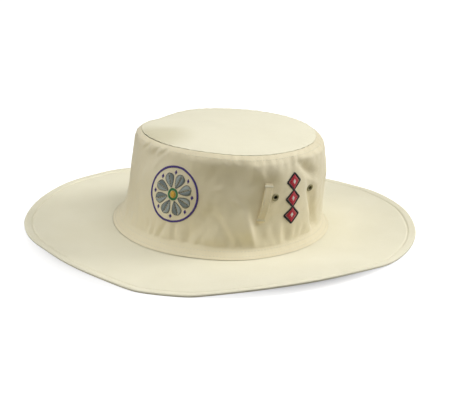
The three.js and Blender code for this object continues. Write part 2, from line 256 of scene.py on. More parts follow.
# %% The small folds and puckers beside the seams
SMALL_FOLDS = [
    # crumpled cloth between the emblem and the loop
    dict(at=(23, 53), wide=(3, 2.5), tall=2.2, deep=-0.7, slant=0.5),
    dict(at=(34, 44), wide=(1.8, 1.5), tall=3, deep=-0.9, slant=-0.5),
    dict(at=(41, 52), wide=(5, 4), tall=7, deep=-0.7),
    dict(at=(39, 33), wide=(4, 3), tall=6, deep=-0.8, slant=-0.2),
    # puckers gathered by the band's stitches, at the front
    dict(at=(14, 13), wide=(2.5, 1.4), tall=7, deep=-0.7, slant=0.33),
    dict(at=(-23, 14), wide=(1.5, 1.5), tall=5, deep=0.6),
    dict(at=(-19, 12), wide=(1.5, 1.3), tall=6, deep=0.8, slant=0.1),
    dict(at=(-14.5, 12), wide=(1.5, 1.2), tall=8, deep=1.1, slant=0.15),
    dict(at=(-8.5, 14), wide=(1.8, 1.3), tall=9, deep=1.5, slant=0.35),
    dict(at=(-0.5, 15), wide=(2, 2.2), tall=9, deep=1.9),
    dict(at=(9, 14), wide=(5, 8), tall=11, deep=1.8, slant=0.1),
    # and at the wearer's left, with low ridges over them
    dict(at=(54, 13), wide=(16, 15), tall=5, deep=0.9),
    dict(at=(61, 26), wide=(4, 5), tall=5, deep=-0.8),
    dict(at=(62, 16), wide=(3, 1.5), tall=8, deep=-0.8),
    dict(at=(66, 12), wide=(2, 1.5), tall=6, deep=0.5),
    dict(at=(70.5, 12), wide=(2, 1.5), tall=6, deep=-0.6),
    dict(at=(78, 12), wide=(2, 2), tall=6, deep=0.5, slant=-0.1),
    dict(at=(84, 26), wide=(2.5, 1.5), tall=10, deep=-0.6, slant=-0.15),
    # full cloth right under the top seam, and the ridge from there to the top of the loop
    dict(at=(38, 72), wide=(38, 28), tall=4.5, deep=-0.8),
    dict(at=(46.6, 67), wide=(3, 1.8), tall=7, deep=-1.1, slant=-0.3),
    # puckers gathered by the top seam
    dict(at=(55.5, 74), wide=(1.6, 1.6), tall=4, deep=0.4),
    dict(at=(61, 74), wide=(1.6, 1.6), tall=4, deep=0.4, slant=0.3),
    dict(at=(67.5, 74), wide=(1.6, 1.6), tall=4, deep=0.4, slant=0.3),
    dict(at=(73, 74), wide=(1.4, 1.4), tall=4, deep=0.6, slant=0.3),
    *[dict(at=(turn, 74), wide=(1.8, 1.8), tall=5, deep=1.1, slant=0.8) for turn in (-32.5, -22, -15.5)],
]
print("small folds:", len(SMALL_FOLDS))


def push_of(folds, turn, height):
    """How far a list of folds pushes the wall in at one place, or at an array of places."""
    total = np.zeros(np.broadcast(turn, height).shape)
    for fold in folds:
        fold_turn, fold_height = fold["at"]
        above = height - fold_height
        aside = turn_between(turn, fold_turn + fold.get("slant", 0) * above)
        wide = np.where(aside < 0, *fold["wide"])
        total += fold["deep"] * np.exp(-(aside / wide) ** 2 - (above / fold["tall"]) ** 2)
    return total


def faded(folds, turn, height, over_band, under_seam):
    """Folds that fade out within so many millimetres of the band and of the top seam."""
    free = smoothstep(height, BAND_HEIGHT - 1, BAND_HEIGHT + over_band)
    return push_of(folds, turn, height) * free * smoothstep(CROWN_HEIGHT - height, 0, under_seam)


# %% [markdown]
# ## Puckers and crumples
#
# Two finer things lie over the folds. Each row of stitches draws the cloth together into small waves
# that lean, and cotton that was put away folded has an uneven surface at several sizes. Both are
# sums of waves from seeded random numbers, so that they come out the same every time.

# %% Fine puckers all round, drawn together by the rows of stitches
PUCKER_DRAWS = np.random.default_rng(7)
PUCKER_LEAN = 0.4
PUCKER_WAVES = [
    dict(
        count=int(PUCKER_DRAWS.integers(22, 70)),
        start=float(PUCKER_DRAWS.uniform(0, 360)),
        lean=float(PUCKER_DRAWS.uniform(-1, 1)),
    )
    for _ in range(9)
]
print("pucker waves round the hat:", sorted(wave["count"] for wave in PUCKER_WAVES))


def ripple(turn, height):
    """Uneven small waves round the hat, mostly from -1 to 1, that lean a little as they go up."""
    total = 0
    for wave in PUCKER_WAVES:
        leaning = turn + wave["lean"] * PUCKER_LEAN * height
        total = total + np.sin(np.radians(wave["count"] * leaning + wave["start"]))
    return total / math.sqrt(2 * len(PUCKER_WAVES))


# %% Crumples of three sizes
CRUMPLES = [
    dict(seed=11, around=14, up=24, tall=0.75, lean=0.15),
    dict(seed=12, around=8, up=11, tall=0.4, lean=-0.3),
    dict(seed=13, around=5, up=5, tall=0.14, lean=0),
]


def soft_noise(seed, across, along, cells_across, cells_along=64):
    """Smooth random waves from -1 to 1 on a grid of cells. It closes on itself across."""
    table = np.random.default_rng(seed).uniform(-1, 1, (cells_along, cells_across))
    i, j = np.floor(along).astype(int), np.floor(across).astype(int)
    s, t = smoothstep(along - i, 0, 1), smoothstep(across - j, 0, 1)
    i, j = i % cells_along, j % cells_across
    i_next, j_next = (i + 1) % cells_along, (j + 1) % cells_across
    low = table[i, j] * (1 - t) + table[i, j_next] * t
    high = table[i_next, j] * (1 - t) + table[i_next, j_next] * t
    return low * (1 - s) + high * s


def crumple(turn, height):
    """The uneven surface of cotton that was folded and put away, at three sizes."""
    total = 0
    for wave in CRUMPLES:
        cells = round(math.pi * (FOOT_ACROSS + FOOT_ALONG) / 2 / wave["around"])
        across = (turn + wave["lean"] * height) / 360 * cells
        total = total + wave["tall"] * soft_noise(wave["seed"], across, height / wave["up"], cells)
    return total


# %% All the dents together
PUCKER_DEEP = dict(near_band=0.24, near_seam=0.3, anywhere=0.08)
TUCK_DEEP = 0.4
FLARE = dict(turn=52, reach=15, share=1.5)
CRUMPLE_AT_SEAM = 0.35


def dent(turn, height):
    """How far the wall is dented in, in millimetres. Under zero it bulges out."""
    large = faded(LARGE_FOLDS, turn, height, over_band=6, under_seam=7)
    small = faded(SMALL_FOLDS, turn, height, over_band=2, under_seam=3)
    near_band = bell(height - BAND_HEIGHT - 4, 7) * smoothstep(height, 5, BAND_HEIGHT + 2)
    near_seam = bell(CROWN_HEIGHT - 4 - height, 5)
    right_over_band = bell(height - BAND_HEIGHT - 1, 1.6)
    pucker_deep = PUCKER_DEEP["near_band"] * near_band + PUCKER_DEEP["near_seam"] * near_seam
    gathered = ripple(turn, height) * (pucker_deep + PUCKER_DEEP["anywhere"])
    # the stitches tuck the wall in over the band, but around the loop's foot it flares out instead
    tucked = TUCK_DEEP * (near_band + right_over_band)
    tucked = tucked * (1 - FLARE["share"] * bell(turn_between(turn, FLARE["turn"]), FLARE["reach"]))
    far_from_seam = smoothstep(CROWN_HEIGHT - height, 1, 8)
    loose = smoothstep(height, 5, 16) * (CRUMPLE_AT_SEAM + (1 - CRUMPLE_AT_SEAM) * far_from_seam)
    return large + small + gathered + tucked + crumple(turn, height) * loose


dents = dent(np.arange(360)[:, None], np.arange(BAND_HEIGHT, CROWN_HEIGHT))
print("deepest dent", round(dents.max(), 1), "mm, highest ridge", round(-dents.min(), 1), "mm")

# %% The wall as a function
BAND_PROUD = 0.2
BAND_LEAN = dict(turn=34, reach=45, deep=1.9, fades=(30, 76))


def unit(v):
    return v / np.linalg.norm(v, axis=-1, keepdims=True)


def straight_out(across, along, turn):
    """The level direction straight out of an oval at a turn."""
    return unit(np.stack(oval(along, across, turn), axis=-1))


def ledge(height):
    """How far the wall is set back over the doubled band. Higher up it comes level with it again."""
    over_band = smoothstep(height, BAND_HEIGHT - 1.4, BAND_HEIGHT + 0.6)
    return BAND_PROUD * (over_band - smoothstep(height, BAND_HEIGHT + 4, 40))


def lean(turn, height):
    """How far the top of the band and the wall over it lean in at the front left."""
    deep = BAND_LEAN["deep"] * bell(turn_between(turn, BAND_LEAN["turn"]), BAND_LEAN["reach"])
    return deep * smoothstep(height, 0, BAND_HEIGHT) * (1 - smoothstep(height, *BAND_LEAN["fades"]))


def wall(turn, height):
    """Points on the outside of the crown's wall, for arrays of turns and heights."""
    turn, height = np.broadcast_arrays(np.asarray(turn, float), np.asarray(height, float))
    share = curve_through(TAPER, "height", "share", height)
    across = FOOT_ACROSS + (TOP_ACROSS - FOOT_ACROSS) * share
    along = FOOT_ALONG + (TOP_ALONG - FOOT_ALONG) * share
    x, y = oval(across, along, turn)
    climb = height / CROWN_HEIGHT
    low, high = inner_seam_height(turn), top_seam_height(turn, x, y)
    outwards = straight_out(across, along, turn)
    push = dent(turn, height) + ledge(height) + lean(turn, height)
    return np.stack([
        x + TOP_SHIFT[0] * climb - outwards[..., 0] * push,
        y + TOP_SHIFT[1] * climb - outwards[..., 1] * push,
        low + (high - low) * climb,
    ], axis=-1)


# %% Directions on the wall, and points under it


def wall_frame(turn, height, reach=0.8):
    """The point, with the directions up the wall and straight out of the cloth."""
    turn, height = np.broadcast_arrays(np.asarray(turn, float), np.asarray(height, float))
    low = np.clip(height - reach, 0, CROWN_HEIGHT - 2 * reach)
    round_it = unit(wall(turn + reach, height) - wall(turn - reach, height))
    up_it = unit(wall(turn, low + 2 * reach) - wall(turn, low))
    return wall(turn, height), up_it, unit(np.cross(round_it, up_it))


def under_wall(turn, height, depth, raised=0.0):
    """Points at a depth under the outer face."""
    point, up_it, out = wall_frame(turn, height)
    return point - out * depth + up_it * raised


print("the wall's front at mid height, mm:", np.round(wall(0, 40), 1))

# %% [markdown]
# ## From points to a mesh
#
# Cloth is best built as a closed skin with a real thickness, so that edges catch light and cast a
# shadow. A grid of points goes round the hat, one row for each step of the cloth's section. Each
# corner also gets a place on the flat cloth, in metres, so that the weave has its true size.

# %% Small helpers for meshes


def add_object(name, mesh):
    piece = bpy.data.objects.new(name, mesh)
    bpy.context.scene.collection.objects.link(piece)
    mesh.shade_smooth()
    return piece


def mesh_of(name, points, faces):
    """A mesh in metres from points in millimetres."""
    mesh = bpy.data.meshes.new(name)
    mesh.from_pydata((points.reshape(-1, 3) * MM).tolist(), [], faces)
    return mesh


def grid_faces(count, around, closed=False):
    """Faces between rows of points that each go all the way round, with their row and column."""
    i, j = np.meshgrid(np.arange(count if closed else count - 1), np.arange(around), indexing="ij")
    i, j = i.ravel(), j.ravel()
    row, next_row = i * around, (i + 1) % count * around
    j_next = (j + 1) % around
    return i, j, np.stack([row + j, row + j_next, next_row + j_next, next_row + j], axis=1)


# %% Make a skin from rows of points


def skin(name, rows, flat, closed=False, ends_filled=False):
    """A mesh over rows of points that each go all the way round a piece.

    flat holds the same places on the uncut cloth, with one column more than rows has: the last
    column is the first one again, after a full turn.
    """
    count, around = rows.shape[:2]
    i, j, faces = grid_faces(count, around, closed)
    i_next = (i + 1) % count
    corners = np.stack([flat[i, j], flat[i, j + 1], flat[i_next, j + 1], flat[i_next, j]], axis=1)
    faces = faces.tolist()
    corners = corners.reshape(-1, 2)
    if ends_filled:
        first = list(range(around))[::-1]
        last = [(count - 1) * around + k for k in range(around)]
        faces += [first, last]
        corners = np.concatenate([corners, flat[0, first], flat[-1, :around]])
    mesh = mesh_of(name, rows, faces)
    layer = mesh.uv_layers.new(name="cloth")
    layer.data.foreach_set("uv", (corners * MM).ravel())
    return add_object(name, mesh)


def from_above(rows):
    """The places of rows as seen from above, as the flat cloth of a piece that lies nearly level."""
    return np.concatenate([rows, rows[:, :1]], axis=1)[..., :2]


def facing_out(piece):
    """Turns every face outwards, and says how large the mesh is."""
    shape = bmesh.new()
    shape.from_mesh(piece.data)
    bmesh.ops.recalc_face_normals(shape, faces=shape.faces)
    shape.to_mesh(piece.data)
    shape.free()
    triangles = sum(len(face.vertices) - 2 for face in piece.data.polygons)
    print(piece.name, triangles, "triangles")
    return piece


# %% [markdown]
# ## The side of the crown
#
# This is a strip of drill joined at the back. Its lower edge is turned in and sewn to the brim, and
# its upper edge rolls inwards to the seam of the top panel. The lowest seven millimetres are
# doubled, so they stand a little proud and stay free of folds. The inside needs fewer rows than the
# outside.

# %% Build the side
STEPS_ROUND = 480
SEAM_GAP = 0.3
TOP_ROLL = 0.15
FOOT_ROLL = 0.7
FOOT_GAP = 0.55

outside_heights = np.concatenate([
    np.linspace(FOOT_ROLL, BAND_HEIGHT - 2, 8),
    np.linspace(BAND_HEIGHT - 1.5, BAND_HEIGHT + 2, 9),
    np.linspace(BAND_HEIGHT + 3, CROWN_HEIGHT - 8, 52),
    np.linspace(CROWN_HEIGHT - 7, CROWN_HEIGHT - TOP_ROLL, 11),
])


def roll_rows(height, radius, rising, steps=4):
    """Rows of an edge that rolls inwards over a quarter circle, as (height, depth) pairs."""
    angles = np.linspace(0, math.pi / 2, steps + 1)[1:]
    sign = 1 if rising else -1
    return [(height + sign * radius * math.sin(a), radius * (1 - math.cos(a))) for a in angles]


section = [(h, 0.0) for h in outside_heights]
section += roll_rows(CROWN_HEIGHT - TOP_ROLL, TOP_ROLL, rising=True)
section += [(CROWN_HEIGHT, WALL_CLOTH)]
section += [(h, WALL_CLOTH) for h in np.linspace(CROWN_HEIGHT - 4, 4, 16)]
section += [(SEAM_GAP, WALL_CLOTH)]
section += roll_rows(FOOT_ROLL, FOOT_ROLL, rising=False)[::-1][1:]

turns = np.arange(STEPS_ROUND) * 360 / STEPS_ROUND
side_rows = np.stack([under_wall(turns, height, depth) for height, depth in section])
side_rows[..., 2] = np.maximum(side_rows[..., 2], inner_seam_height(turns) + FOOT_GAP)

MEAN_RADIUS = (FOOT_ACROSS + FOOT_ALONG) / 4
lengths = np.concatenate([[0], np.cumsum(np.linalg.norm(np.diff(side_rows[:, 0], axis=0), axis=1))])
round_places = np.linspace(0, 2 * math.pi * MEAN_RADIUS, STEPS_ROUND + 1)
side_flat = np.stack(np.meshgrid(lengths, round_places, indexing="ij")[::-1], axis=-1)
crown_side = facing_out(skin("crown_side_cloth", side_rows, side_flat, closed=True))

# %% [markdown]
# ## Holes for the eyelets
#
# Each eyelet goes through a real hole. A Boolean modifier cuts them, with one short bar for each,
# laid along the cloth's own direction at that place. The bars are thrown away afterwards.

# %% Cut the holes
EYELET_HEIGHT = 46.5
EYELET_TURNS = dict(
    eyelet_left_front=57,
    eyelet_left_back=86,
    eyelet_right_front=-77,
    eyelet_right_back=-104.5,
)
BARREL_RADIUS = 2.2
HOLE_RADIUS = BARREL_RADIUS + SEAM_GAP / 2
BAR_LENGTH = 10


def eyelet_seat(turn):
    """The matrix that stands something made along +Z on the wall, at an eyelet's place."""
    point, _, out = wall_frame(turn, EYELET_HEIGHT)
    lean_out = Vector(out).to_track_quat("Z", "Y").to_matrix().to_4x4()
    return Matrix.Translation(Vector(point) * MM) @ lean_out


def cutting_bar(turn):
    shape = bmesh.new()
    bmesh.ops.create_cone(
        shape, cap_ends=True, segments=40, radius1=HOLE_RADIUS * MM, radius2=HOLE_RADIUS * MM,
        depth=BAR_LENGTH * MM, matrix=eyelet_seat(turn))
    mesh = bpy.data.meshes.new("cutting_bar")
    shape.to_mesh(mesh)
    shape.free()
    return add_object("cutting_bar", mesh)


def apply_modifiers(piece):
    """Makes the result of a piece's modifiers its own mesh."""
    graph = bpy.context.evaluated_depsgraph_get()
    mesh = bpy.data.meshes.new_from_object(piece.evaluated_get(graph))
    piece.modifiers.clear()
    piece.data = mesh


for name, turn in EYELET_TURNS.items():
    bar = cutting_bar(turn)
    cut = crown_side.modifiers.new(name, "BOOLEAN")
    cut.operation = "DIFFERENCE"
    cut.object = bar
    apply_modifiers(crown_side)
    bpy.data.objects.remove(bar)
print("holes cut:", len(EYELET_TURNS))

# %% [markdown]
# ## The top panel
#
# A disc of the same drill, its colour painted a shade paler and brighter than the wall's as painted
# light for the sky it faces, with painted shade where its front, towards the wearer's right, bends
# down to the seam. It meets the side in a seam that is turned inwards, so from outside both cloths
# roll down into a narrow groove. The disc doesn't lie flat: it swells slightly, and a few shallow
# hollows show where it was pressed.

# %% The top panel's dome and hollows
TOP_DOME = 4
TOP_RADIUS = 76
PANEL_ROLL = 0.25
PANEL_LIFT = 0.2
RIM_BEND = dict(reach=4, deep=0.7)
RIM_RIPPLE = dict(reach=6, deep=0.16)
MIDDLE_SHARE = 0.03
TOP_HOLLOWS = [
    dict(x=-20, y=-44, reach=20, deep=-1.4),
    dict(x=-38, y=-22, reach=16, deep=1.2),
    dict(x=46, y=-12, reach=13, deep=0.9),
    dict(x=10, y=30, reach=26, deep=0.8),
    dict(x=-20, y=52, reach=14, deep=0.7),
]
top_centre = np.array([*TOP_SHIFT, SEAM_HEIGHT + CROWN_HEIGHT])
top_rim = under_wall(turns, CROWN_HEIGHT, 0, raised=SEAM_GAP)
print("the top's rim is", round(float(np.ptp(top_rim[:, 2])), 1), "mm higher at one side than at the other")


def top_panel(share, depth):
    """One ring of the panel, at a share of the way from its middle to its rim, and at a depth."""
    ring = top_centre + (top_rim - top_centre) * share
    ring[:, 2] += TOP_DOME * (1 - share**2) - depth + PANEL_LIFT
    for hollow in TOP_HOLLOWS:
        away = (ring[:, 0] - hollow["x"]) ** 2 + (ring[:, 1] - hollow["y"]) ** 2
        ring[:, 2] -= hollow["deep"] * np.exp(-away / hollow["reach"] ** 2)
    from_rim = (1 - share) * TOP_RADIUS
    ring[:, 2] += RIM_RIPPLE["deep"] * bell(from_rim, RIM_RIPPLE["reach"]) * ripple(turns, 90)
    ring[:, 2] -= RIM_BEND["deep"] * (bell(from_rim, RIM_BEND["reach"]) - 1)
    return ring


# %% Build the top panel
last_share = 1 - PANEL_ROLL / TOP_RADIUS


def rim_roll(angle):
    """The panel's edge, rolling down and back inwards over a half circle."""
    ring = top_panel(last_share, 0) + unit(top_rim - top_centre) * PANEL_ROLL * math.sin(angle)
    ring[:, 2] -= PANEL_ROLL * (1 - math.cos(angle))
    return ring


upper_shares = [MIDDLE_SHARE, *np.linspace(0.1, 0.9, 17), *np.linspace(0.915, last_share, 7)]
panel_rows = [top_panel(share, 2 * PANEL_ROLL) for share in np.linspace(MIDDLE_SHARE, 0.96, 14)]
panel_rows += [rim_roll(angle) for angle in np.linspace(math.pi, math.pi / 8, 8)]
panel_rows += [top_panel(share, 0) for share in upper_shares[::-1]]
panel_rows = np.stack(panel_rows)
crown_top = facing_out(skin("crown_top_cloth", panel_rows, from_above(panel_rows), ends_filled=True))

# %% [markdown]
# ## The brim
#
# The brim is a ring of drill with a turned hem, sewn down seven millimetres from the edge. It lies
# on the floor at the front, the left and the back, and lifts where the hat was bent in the bag. Its
# inner edge is turned up inside the crown. The hem row draws the cloth in, so a fine ripple runs
# along it, and the hem, being doubled, is thicker than the rest.

# %% The height of the brim's edge all round
BRIM_EDGE = [
    dict(turn=0, height=1.6),
    dict(turn=5, height=-0.6),
    dict(turn=10, height=-1.2),
    dict(turn=16, height=-0.8),
    dict(turn=22, height=1.4),
    dict(turn=30, height=4.1),
    dict(turn=38, height=5.9),
    dict(turn=46, height=6.7),
    dict(turn=54, height=6.9),
    dict(turn=62, height=6.1),
    dict(turn=72, height=4),
    dict(turn=82, height=1),
    dict(turn=92, height=-0.5),
    dict(turn=106, height=-0.8),
    dict(turn=118, height=-0.2),
    dict(turn=130, height=1.5),
    dict(turn=140, height=1.9),
    dict(turn=150, height=1.2),
    dict(turn=163, height=-0.4),
    dict(turn=182, height=-0.8),
    dict(turn=208, height=-0.8),
    dict(turn=222, height=3),
    dict(turn=236, height=7.8),
    dict(turn=250, height=9.8),
    dict(turn=264, height=10),
    dict(turn=280, height=9.2),
    dict(turn=296, height=8.8),
    dict(turn=310, height=9.4),
    dict(turn=322, height=10.6),
    dict(turn=332, height=11.1),
    dict(turn=342, height=8.9),
    dict(turn=351, height=5.6),
]
EDGE_ALL_ROUND = [dict(row, turn=row["turn"] + by) for by in (-360, 0, 360) for row in BRIM_EDGE]
print("the brim's edge is given at", len(BRIM_EDGE), "turns")

# %% The brim as a function
HEM = 7
HEM_ROW = BRIM_WIDTH - HEM
HEM_DOUBLED = 0.2
HEM_PULL = dict(reach=0.9, deep=0.5)
HEM_RIPPLE = dict(reach=5, deep=0.12)
BRIM_SAG = 1
BRIM_WAVE = 0.35
SOFT_LANDING = 0.9


def brim(turn, out, down):
    """A ring of the brim, so far out from its inner seam and so far down from its upper face."""
    share = np.clip(out / BRIM_WIDTH, 0, 1)
    low = inner_seam_height(turn) - BRIM_CLOTH
    edge = curve_through(EDGE_ALL_ROUND, "turn", "height", turn % 360)
    under = low + (edge - low) * share - BRIM_SAG * math.sin(math.pi * share)
    under = under + BRIM_WAVE * smoothstep(out, 8, 40) * ripple(turn * 0.25, out * 0.4)
    under = (under + np.sqrt(under**2 + SOFT_LANDING**2)) / 2
    x, y = oval(FOOT_ACROSS, FOOT_ALONG, turn)
    outwards = straight_out(FOOT_ACROSS, FOOT_ALONG, turn) * out
    return np.stack([x + outwards[:, 0], y + outwards[:, 1], under + BRIM_CLOTH - down], axis=-1)


def brim_top(turn, out):
    """A ring of the upper face, pulled down by the hem row and padded out by the doubled hem."""
    from_row = out - HEM_ROW
    pull = HEM_PULL["deep"] * bell(from_row, HEM_PULL["reach"])
    doubled = HEM_DOUBLED * smoothstep(from_row, -0.6, 1.5)
    ripples = HEM_RIPPLE["deep"] * ripple(turn * 1.7, 30) * bell(from_row, HEM_RIPPLE["reach"])
    return brim(turn, out, pull - doubled + ripples)


# %% Build the brim
BRIM_STEPS = 600
EDGE_ROUND = 1
LIP_OUT = WALL_CLOTH + SEAM_GAP
LIP_THICK = 1.2
LIP_HEIGHT = 3.5
LIP_SUNK = 0.1
brim_turns = np.arange(BRIM_STEPS) * 360 / BRIM_STEPS
upper_outs = [
    *np.linspace(0.5, HEM_ROW - 4, 34),
    *np.linspace(HEM_ROW - 3, HEM_ROW + 3, 17),
    *np.linspace(HEM_ROW + 4, BRIM_WIDTH - EDGE_ROUND, 4),
]
under_outs = np.linspace(BRIM_WIDTH - 3, -LIP_OUT - LIP_THICK, 16)
brim_rows = [under_wall(brim_turns, LIP_HEIGHT, LIP_OUT), brim(brim_turns, -LIP_OUT, LIP_SUNK)]
brim_rows += [brim_top(brim_turns, out) for out in upper_outs]
for angle in np.linspace(0, math.pi, 7)[1:]:
    round_out = BRIM_WIDTH - EDGE_ROUND + math.sin(angle)
    round_down = (1 - math.cos(angle)) * (BRIM_CLOTH + HEM_DOUBLED) / 2 - HEM_DOUBLED
    brim_rows.append(brim(brim_turns, round_out, round_down))
brim_rows += [brim(brim_turns, out, BRIM_CLOTH) for out in under_outs]
brim_rows += [under_wall(brim_turns, LIP_HEIGHT, LIP_OUT + LIP_THICK)]
brim_rows = np.stack(brim_rows)
brim_cloth = facing_out(skin("brim_cloth", brim_rows, from_above(brim_rows), closed=True))

# %% [markdown]
# ## Threads
#
# Stitches are too small to model one by one by hand, and too large to leave to a bump: light from
# the side picks out each one. A thread is a short rounded bar that dives into the cloth at both
# ends. One function makes any number of them as a single mesh, from a row of points for each.

# %% Lay threads on the cloth
THREAD_SIDES = 6
THREAD_STEPS = 5
THREAD_TIP = 0.06


def full_circle(steps):
    """Angles all the way round, without the first one again at the end."""
    return np.linspace(0, 2 * math.pi, steps, endpoint=False)


def threads(name, paths, outs, width, sink=0.35):
    """One mesh of threads. paths holds a row of points for each thread, outs the cloth's directions."""
    count, steps = paths.shape[:2]
    along = unit(np.gradient(paths, axis=1))
    side = unit(np.cross(outs, along))
    angles = full_circle(THREAD_SIDES)
    near_end = (2 * np.linspace(0, 1, steps) - 1) ** 6
    body = np.sqrt(np.clip(1 - near_end, THREAD_TIP, 1))[None, :, None, None]
    lift = (width * (0.5 - sink) - width * 0.5 * near_end)[None, :, None]
    middle = paths + outs * lift
    ring = side[:, :, None, :] * np.cos(angles)[None, None, :, None] * width / 2
    ring = ring + outs[:, :, None, :] * np.sin(angles)[None, None, :, None] * width / 2
    points = middle[:, :, None, :] + ring * body
    sides = grid_faces(steps, THREAD_SIDES)[2]
    cap = np.arange(THREAD_SIDES)
    faces = []
    for start in np.arange(count) * steps * THREAD_SIDES:
        faces.extend((start + sides).tolist())
        faces.append((start + cap[::-1]).tolist())
        faces.append((start + (steps - 1) * THREAD_SIDES + cap).tolist())
    return facing_out(add_object(name, mesh_of(name, points, faces)))


# %% Sew rows of stitches round the hat
STITCH_LENGTH = 2.3
STITCH_PITCH = 3
MEASURED_TURNS = np.linspace(0, 360, 721)


def stitch_row(name, place, width=0.45):
    """A row of stitches round the hat. place(turn) gives points and directions for an array of turns."""
    ring, _ = place(MEASURED_TURNS)
    steps = np.linalg.norm(np.diff(ring, axis=0), axis=1)
    total = steps.sum()
    count = int(round(total / STITCH_PITCH))
    reach = np.concatenate([[0], np.cumsum(steps)])
    starts = np.arange(count) * total / count
    places = starts[:, None] + np.linspace(0, STITCH_LENGTH, THREAD_STEPS)[None, :]
    points, outs = place(np.interp(places, reach, MEASURED_TURNS).ravel())
    print(name, count, "stitches")
    return threads(name, points.reshape(count, -1, 3), outs.reshape(count, -1, 3), width)


def on_hem_row(turn, reach=0.5):
    """The place function for the hem's stitches."""
    point = brim_top(turn, HEM_ROW)
    ahead = brim_top(turn + reach, HEM_ROW) - point
    outer = brim_top(turn, HEM_ROW + reach) - point
    return point, unit(np.cross(outer, ahead))


def at_height(height):
    """A place function for a row of stitches on the wall."""
    return lambda turn: wall_frame(turn, height)[::2]


WALL_ROWS = dict(band_stitches=BAND_HEIGHT - 1.9, foot_stitches=2.2, top_stitches=CROWN_HEIGHT - 3)
rows_of_stitches = [stitch_row("hem_stitches", on_hem_row, width=0.5)]
rows_of_stitches += [stitch_row(name, at_height(height)) for name, height in WALL_ROWS.items()]

# %% [markdown]
# ## The band loop
#
# A narrow folded strap stands off the wall between two bar tacks. A ribbon or a folded hat can be
# pushed through it. It is a skin round a flat section with rounded edges, thicker beside them where
# the fold is stitched, and it bows out evenly between its ends.

# %% Where the loop runs
LOOP_TOP = dict(turn=51.7, height=57.8)
LOOP_FOOT = dict(turn=49, height=27.8)
LOOP_WIDTH = 7
LOOP_THICK = 1.1
LOOP_BOW = 2.7
LOOP_SEAT = 0.45
LOOP_EDGE = dict(at=2.7, reach=0.6, thicker=0.18)
LOOP_SPARE = 0.03
LOOP_ROWS = 60
LOOP_FLAT = dict(long=31, round_it=16)

high_point, _, high_out = wall_frame(**LOOP_TOP)
low_point, _, low_out = wall_frame(**LOOP_FOOT)
loop_down = low_point - high_point
loop_out = unit(high_out + low_out)
loop_side = unit(np.cross(-loop_down, loop_out))
LOOP_LENGTH = np.linalg.norm(loop_down)


def loop_point(share, across, over):
    """A point of the strap: share of the way down, millimetres aside, and millimetres over its back."""
    share, across, over = np.broadcast_arrays(share, across, over)
    lift = LOOP_SEAT + LOOP_BOW * np.sin(np.pi * share) ** 0.8 + over
    middle = high_point + loop_down * share[..., None]
    return middle + loop_side * across[..., None] + loop_out * lift[..., None]


print("the loop is", round(float(LOOP_LENGTH), 1), "mm long between its ends")

# %% Build the loop


def loop_section(steps=28):
    """The strap's section: flat, with rounded edges that are a little thicker than its middle."""
    angles = full_circle(steps)
    across = np.sign(np.cos(angles)) * np.abs(np.cos(angles)) ** 0.35 * LOOP_WIDTH / 2
    edge = 1 + LOOP_EDGE["thicker"] * bell(np.abs(across) - LOOP_EDGE["at"], LOOP_EDGE["reach"])
    rounded = np.sign(np.sin(angles)) * np.abs(np.sin(angles)) ** 0.5
    return across, LOOP_THICK / 2 + rounded * LOOP_THICK / 2 * edge


section_across, section_over = loop_section()
strap_rows = []
for share in np.linspace(-LOOP_SPARE, 1 + LOOP_SPARE, LOOP_ROWS):
    held = np.clip(share, 0, 1)
    strap_rows.append(loop_point(held, section_across, section_over) + loop_down * (share - held))
places_down = np.linspace(0, LOOP_FLAT["long"], LOOP_ROWS)
places_round = np.linspace(0, LOOP_FLAT["round_it"], len(section_across) + 1)
strap_flat = np.stack(np.meshgrid(places_down, places_round, indexing="ij"), axis=-1)
band_loop = facing_out(skin("band_loop_strap", np.stack(strap_rows), strap_flat, ends_filled=True))

# %% Tack the loop down, and sew along its edges
TACK = dict(threads=19, tall=2.1, width=0.46, past_edge=0.2)
SEAM_STITCH = dict(length=2.0, pitch=2.6, width=0.4)


def tack(name, middle):
    """A bar tack: short threads packed side by side across the strap."""
    half = LOOP_WIDTH / 2 + TACK["past_edge"]
    across = np.linspace(-half, half, TACK["threads"])[:, None]
    shares = middle + np.linspace(-0.5, 0.5, THREAD_STEPS) * TACK["tall"] / LOOP_LENGTH
    paths = loop_point(np.clip(shares, 0, 1), across, LOOP_THICK * 1.05)
    return threads(name, paths, np.broadcast_to(loop_out, paths.shape), TACK["width"], sink=0.2)


def strap_seam(name, across):
    """Stitches down the strap, beside one of its edges."""
    starts = np.arange(0.05, 0.92, SEAM_STITCH["pitch"] / LOOP_LENGTH)[:, None]
    shares = starts + np.linspace(0, SEAM_STITCH["length"] / LOOP_LENGTH, THREAD_STEPS)
    paths = loop_point(shares, across, LOOP_THICK)
    return threads(name, paths, np.broadcast_to(loop_out, paths.shape), SEAM_STITCH["width"])


loop_sewing = [
    tack("loop_tack_top", 0.035), tack("loop_tack_foot", 0.965),
    strap_seam("loop_seam_front", -2.5), strap_seam("loop_seam_back", 2.5),
]

# %% [markdown]
# ## Eyelets
#
# A two-part brass eyelet is rolled over the edge of its hole by a hand press. It is a turned form:
# one outline, spun round the hole's own axis. The outline runs up the barrel, over the outer roll,
# back under it, and out to the washer inside the hat.

# %% Spin the eyelets
EYELET = dict(bore=1.6, flange=3.3, roll=0.75, roll_height=0.25, washer_gap=0.6, washer=0.5, bevel=0.15)
EYELET_SIDES = 56


